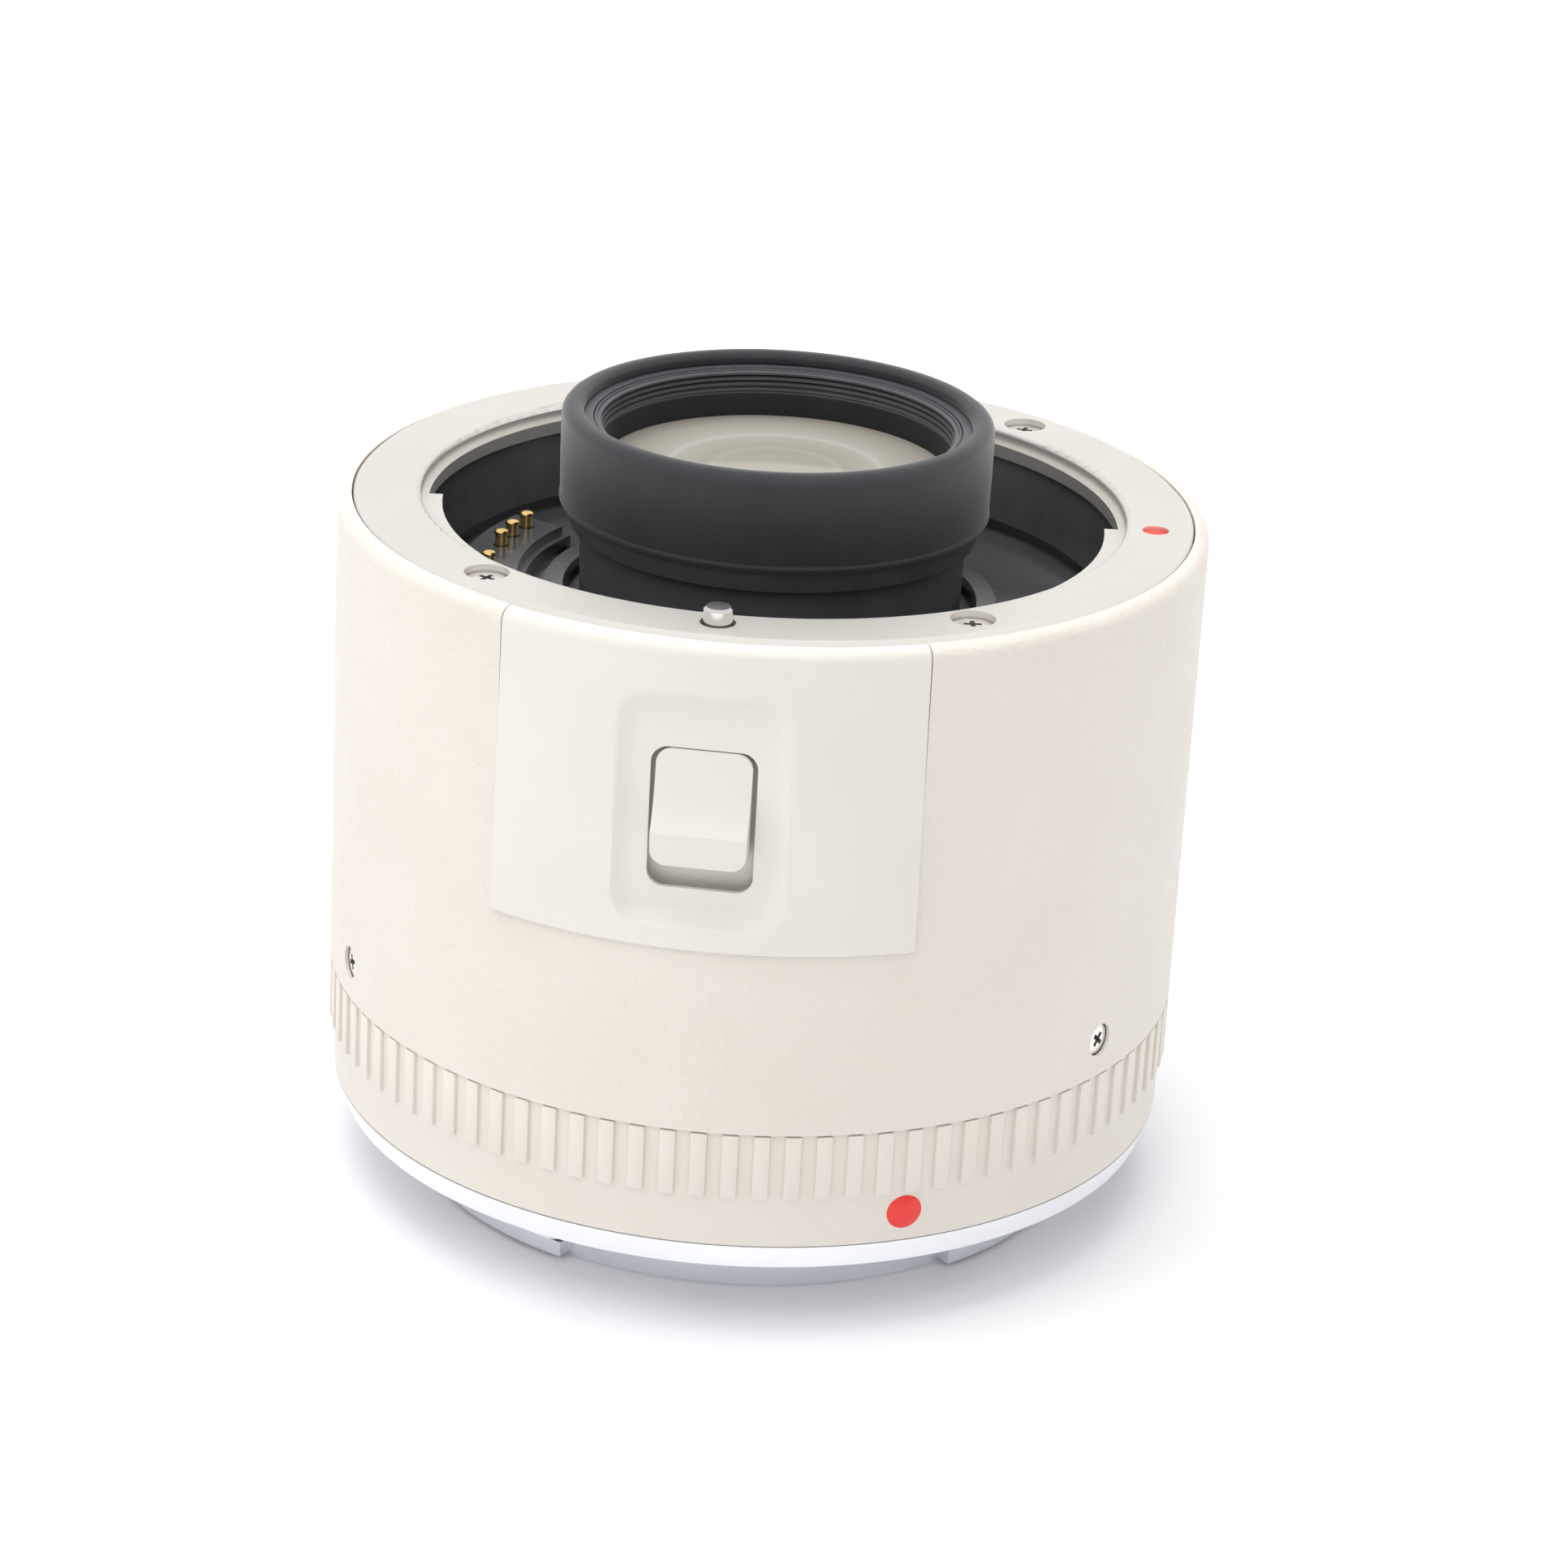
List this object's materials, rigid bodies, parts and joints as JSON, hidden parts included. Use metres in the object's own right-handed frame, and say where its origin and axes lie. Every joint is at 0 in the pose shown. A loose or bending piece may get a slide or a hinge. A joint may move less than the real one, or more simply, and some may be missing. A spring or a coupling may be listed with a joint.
{
  "type": "camera teleconverter",
  "caption": "Cylindrical camera teleconverter with a bayonet mount at each end, a sliding lock release, spring-loaded contacts, a ribbed ring and a hooded front lens.",
  "frame": {"origin": "centre of the bayonet neck's end face, which the part stands on", "axes": "+Z along the optical axis, from the camera towards the lens; -Y towards the release switch"},
  "size_m": [0.0718, 0.0726, 0.0665],
  "materials": {
    "barrel_paint": "fine crinkle paint, warm white",
    "grip_paint": "smooth satin paint, warm white",
    "white_plastic": "smooth, faintly satin",
    "mount_nickel": "satin plating",
    "mount_chrome": "bright satin plating",
    "screw_steel": "plated",
    "spring_steel": "bright wire",
    "black_plastic": "matt",
    "black_metal": "black anodised",
    "hood_rubber": "matt",
    "lens_glass": "coated and polished",
    "gold": "gold plated",
    "red_paint": "enamel",
    "board_green": "lacquered",
    "flex_amber": "film",
    "slide_steel": "plain"
  },
  "bodies": {
    "body": {"main_barrel": "barrel_paint", "switch_panel": "white_plastic", "panel_screws": "screw_steel", "rear_grip_ring": "grip_paint", "barrel_screws": "screw_steel", "front_mount_ring": "mount_nickel", "front_mount_screws": "screw_steel", "mount_leaf_springs": "spring_steel", "front_index_mark": "red_paint", "front_light_shield": "black_plastic", "front_contact_block": "black_plastic", "front_contact_flex": "flex_amber", "contact_springs": "spring_steel", "front_cell": "black_metal", "rubber_hood": "hood_rubber", "front_baffle_ring": "black_metal", "lens_tube": "black_metal", "lens_tube_screws": "screw_steel", "front_doublet": "lens_glass", "middle_triplet": "lens_glass", "lens_spacer": "black_metal", "relay_doublet": "lens_glass", "field_lens": "lens_glass", "rear_spacer": "black_metal", "rear_lens": "lens_glass", "rear_retaining_ring": "black_metal", "circuit_board": "board_green", "board_chips": "black_plastic", "rear_flex": "flex_amber", "rear_mount": "mount_chrome", "rear_mount_screws": "screw_steel", "mount_stop_pin": "screw_steel", "rear_light_shield": "black_plastic", "rear_contact_block": "black_plastic", "rear_contact_pads": "gold", "rear_contact_screws": "screw_steel", "rear_index_dot": "red_paint", "slider_guide": "slide_steel", "slider_guide_screws": "screw_steel", "lock_spring": "spring_steel"},
    "release_slider": {"release_knob": "white_plastic", "slider_plate": "slide_steel", "lock_pin": "screw_steel"},
    "contact_1": {"contact_pin_1": "gold"},
    "contact_2": {"contact_pin_2": "gold"},
    "contact_3": {"contact_pin_3": "gold"},
    "contact_4": {"contact_pin_4": "gold"},
    "contact_5": {"contact_pin_5": "gold"},
    "contact_6": {"contact_pin_6": "gold"},
    "contact_7": {"contact_pin_7": "gold"},
    "contact_8": {"contact_pin_8": "gold"},
    "contact_9": {"contact_pin_9": "gold"},
    "contact_10": {"contact_pin_10": "gold"}
  },
  "joints": [
    {"name": "release_slide", "type": "slide", "parent": "body", "child": "release_slider", "axis": [0, 0, -1], "range_m": [0, 0.0022], "stiffness_N_per_m": 450, "springref_m": -0.004, "deforming": ["lock_spring"]},
    {"name": "contact_press_1", "type": "slide", "parent": "body", "child": "contact_1", "axis": [0, 0, -1], "range_m": [0, 0.001], "stiffness_N_per_m": 250, "springref_m": -0.001, "deforming": ["contact_springs"]},
    {"name": "contact_press_2", "type": "slide", "parent": "body", "child": "contact_2", "axis": [0, 0, -1], "range_m": [0, 0.001], "stiffness_N_per_m": 250, "springref_m": -0.001, "deforming": ["contact_springs"]},
    {"name": "contact_press_3", "type": "slide", "parent": "body", "child": "contact_3", "axis": [0, 0, -1], "range_m": [0, 0.001], "stiffness_N_per_m": 250, "springref_m": -0.001, "deforming": ["contact_springs"]},
    {"name": "contact_press_4", "type": "slide", "parent": "body", "child": "contact_4", "axis": [0, 0, -1], "range_m": [0, 0.001], "stiffness_N_per_m": 250, "springref_m": -0.001, "deforming": ["contact_springs"]},
    {"name": "contact_press_5", "type": "slide", "parent": "body", "child": "contact_5", "axis": [0, 0, -1], "range_m": [0, 0.001], "stiffness_N_per_m": 250, "springref_m": -0.001, "deforming": ["contact_springs"]},
    {"name": "contact_press_6", "type": "slide", "parent": "body", "child": "contact_6", "axis": [0, 0, -1], "range_m": [0, 0.001], "stiffness_N_per_m": 250, "springref_m": -0.001, "deforming": ["contact_springs"]},
    {"name": "contact_press_7", "type": "slide", "parent": "body", "child": "contact_7", "axis": [0, 0, -1], "range_m": [0, 0.001], "stiffness_N_per_m": 250, "springref_m": -0.001, "deforming": ["contact_springs"]},
    {"name": "contact_press_8", "type": "slide", "parent": "body", "child": "contact_8", "axis": [0, 0, -1], "range_m": [0, 0.001], "stiffness_N_per_m": 250, "springref_m": -0.001, "deforming": ["contact_springs"]},
    {"name": "contact_press_9", "type": "slide", "parent": "body", "child": "contact_9", "axis": [0, 0, -1], "range_m": [0, 0.001], "stiffness_N_per_m": 250, "springref_m": -0.001, "deforming": ["contact_springs"]},
    {"name": "contact_press_10", "type": "slide", "parent": "body", "child": "contact_10", "axis": [0, 0, -1], "range_m": [0, 0.001], "stiffness_N_per_m": 250, "springref_m": -0.001, "deforming": ["contact_springs"]}
  ]
}
